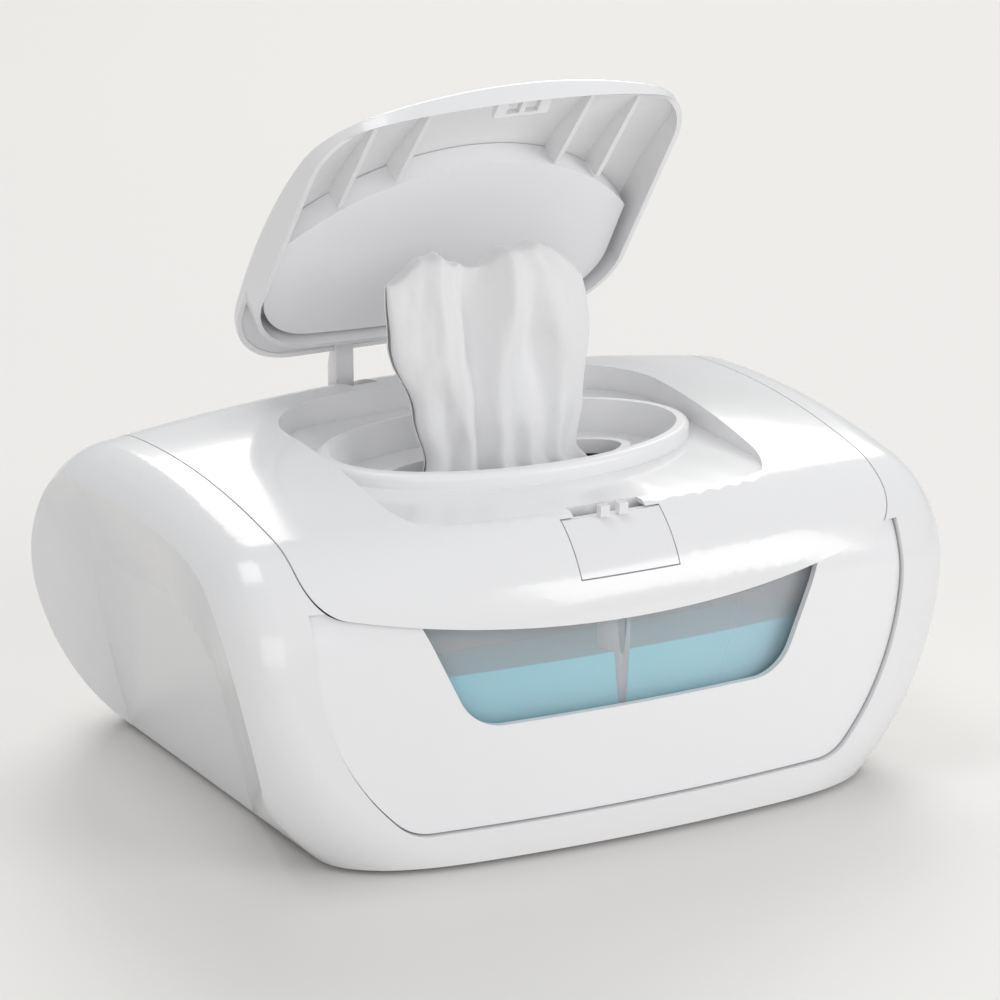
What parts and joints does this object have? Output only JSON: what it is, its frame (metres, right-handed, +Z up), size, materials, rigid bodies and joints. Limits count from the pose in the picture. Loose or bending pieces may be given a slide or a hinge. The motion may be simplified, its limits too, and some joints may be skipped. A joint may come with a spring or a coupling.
{
  "type": "baby wipe warmer",
  "caption": "Low rounded wipe warmer with a hinged band-shaped cover, a flip-up dispensing lid over an oval well, a push button and a clear water tank behind a front window.",
  "frame": {"origin": "middle of the footprint, on the surface under the rubber feet", "axes": "+X to the object's left-right width, -Y towards the front with the window, +Z up"},
  "size_m": [0.2408, 0.18, 0.2126],
  "materials": {
    "gloss_white": "gloss",
    "gloss_white_panel": "gloss",
    "gloss_white_cover": "gloss",
    "gloss_white_lid": "gloss",
    "gloss_white_button": "gloss",
    "satin_white": "satin",
    "clear_tank": "clear",
    "tinted_water": "clear",
    "clear_cover": "clear",
    "blue_rubber": "matte",
    "grey_bin": "satin",
    "seal_rubber": "matte",
    "wipe_cloth": "soft",
    "heater_metal": "satin",
    "pad_felt": "matte",
    "sensor_metal": "satin",
    "board_green": "satin",
    "black_plastic": "matte",
    "satin_base": "satin",
    "screw_steel": "satin",
    "foot_rubber": "matte",
    "pin_steel": "satin",
    "spring_steel": "satin"
  },
  "bodies": {
    "base": {"housing_front": "gloss_white", "housing_rear": "gloss_white", "housing_left": "gloss_white", "housing_right": "gloss_white", "deck_frame": "gloss_white", "front_panel": "gloss_white_panel", "water_tank": "clear_tank", "tank_water": "tinted_water", "tank_cover": "clear_cover", "filler_plug": "blue_rubber", "inner_bin": "grey_bin", "bin_seal": "seal_rubber", "wipe_stack": "wipe_cloth", "heater_plate": "heater_metal", "insulation_pad": "pad_felt", "thermostat": "sensor_metal", "control_board": "board_green", "power_jack": "black_plastic", "base_plate": "satin_base", "base_screws": "screw_steel", "rubber_feet": "foot_rubber", "cover_hinge_pins": "pin_steel"},
    "cover": {"top_cover": "gloss_white_cover", "dispenser_well": "satin_white", "flip_lid_pins": "pin_steel", "button_spring": "spring_steel", "wipe": "wipe_cloth"},
    "flip_lid": {"flip_lid": "gloss_white_lid", "flip_liner": "satin_white"},
    "button": {"release_button": "gloss_white_button"}
  },
  "joints": [
    {"name": "cover_hinge", "type": "hinge", "parent": "base", "child": "cover", "pos_m": [0, 0.0842, 0.082], "axis": [-1, 0, 0], "range_deg": [0, 75]},
    {"name": "flip_lid_hinge", "type": "hinge", "parent": "cover", "child": "flip_lid", "pos_m": [0, 0.06, 0.101], "axis": [1, 0, 0], "range_deg": [0, 55], "stiffness_Nm_per_rad": 0.06, "springref_deg": -34.38, "deforming": ["wipe"]},
    {"name": "button_press", "type": "slide", "parent": "cover", "child": "button", "axis": [0, 1, 0], "range_m": [0, 0.002], "stiffness_N_per_m": 400, "springref_m": -0.0005, "deforming": ["button_spring"]}
  ]
}
